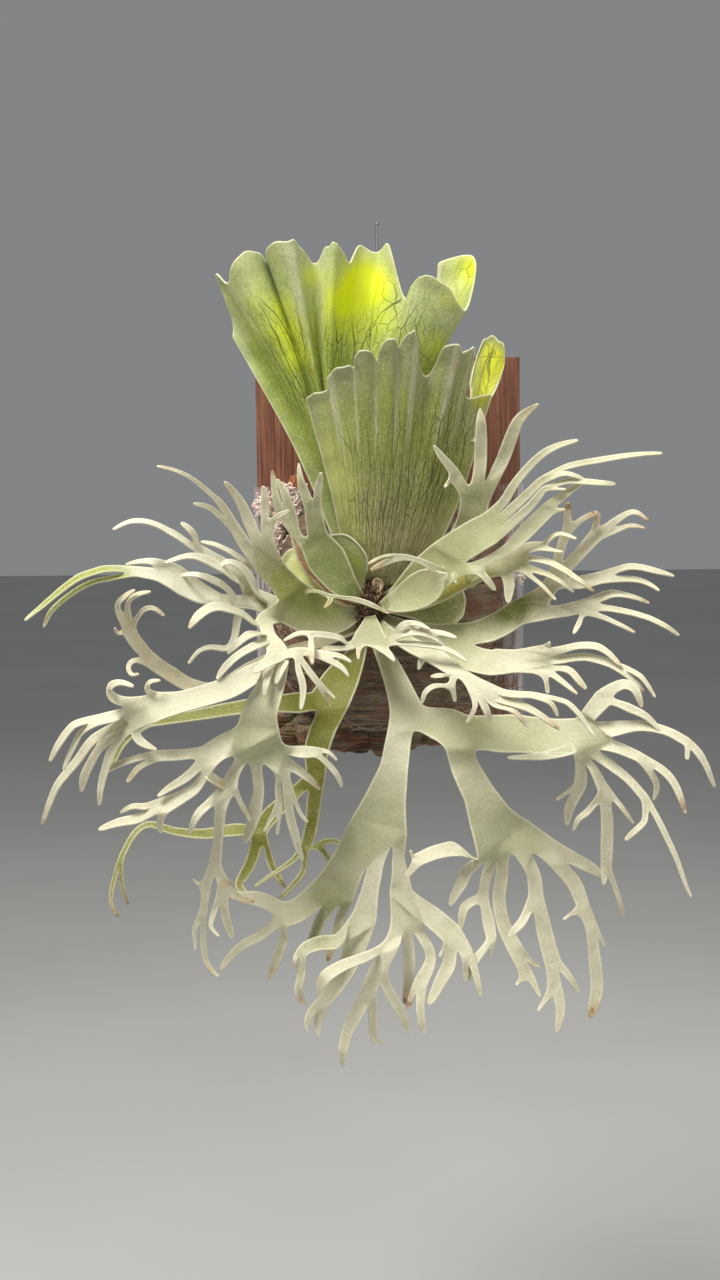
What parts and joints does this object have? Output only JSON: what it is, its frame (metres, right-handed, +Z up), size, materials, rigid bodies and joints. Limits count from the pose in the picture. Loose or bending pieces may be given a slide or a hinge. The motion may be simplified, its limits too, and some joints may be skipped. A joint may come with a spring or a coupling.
{
  "type": "mounted staghorn fern",
  "caption": "Staghorn fern with grey-green shield fronds and forked felted antler fronds, grown on a moss mound bound with clear film to a ribbed reddish board that hangs by a wire loop.",
  "frame": {"origin": "centre of the board's back face, which lies against the wall", "axes": "x to the viewer's right, y into the wall, z up; the plant grows out toward -y"},
  "size_m": [0.4227, 0.2734, 0.5563],
  "materials": {
    "stained_wood": "reddish-brown stain, satin, fine upright ribs",
    "steel_wire": "drawn wire, dull",
    "coir_and_moss": "matted brown fibre and moss, matt",
    "dark_scales": "dark brown papery scales, matt",
    "dried_frond": "dry, tan, matt",
    "clear_film": "clear stretch film with white creases",
    "shield_lime": "thin green leaf, satin, lit through",
    "shield_green": "grey-green leaf with pale ribs, satin",
    "antler_green": "green leaf under thin pale felt, matt",
    "antler_pale": "silvery cream felt over green, matt"
  },
  "bodies": {
    "root": {"board": "stained_wood", "hanging_wire": "steel_wire", "root_ball": "coir_and_moss", "bud": "dark_scales", "young_frond": "dried_frond", "film": "clear_film", "back_shield": "shield_lime", "front_shield": "shield_green", "young_shield": "shield_green", "low_shield_left": "shield_lime", "low_shield_right": "shield_green", "old_stub": "dried_frond", "antler_left": "antler_pale", "antler_inner_left": "antler_green", "antler_arch_left": "antler_pale", "antler_curled_left": "antler_pale", "antler_low_left": "antler_green", "antler_centre": "antler_pale", "antler_front": "antler_pale", "antler_tall_right": "antler_green", "antler_fold_right": "antler_green", "antler_middle_right": "antler_pale", "antler_right": "antler_pale", "antler_front_right": "antler_pale"}
  },
  "joints": []
}
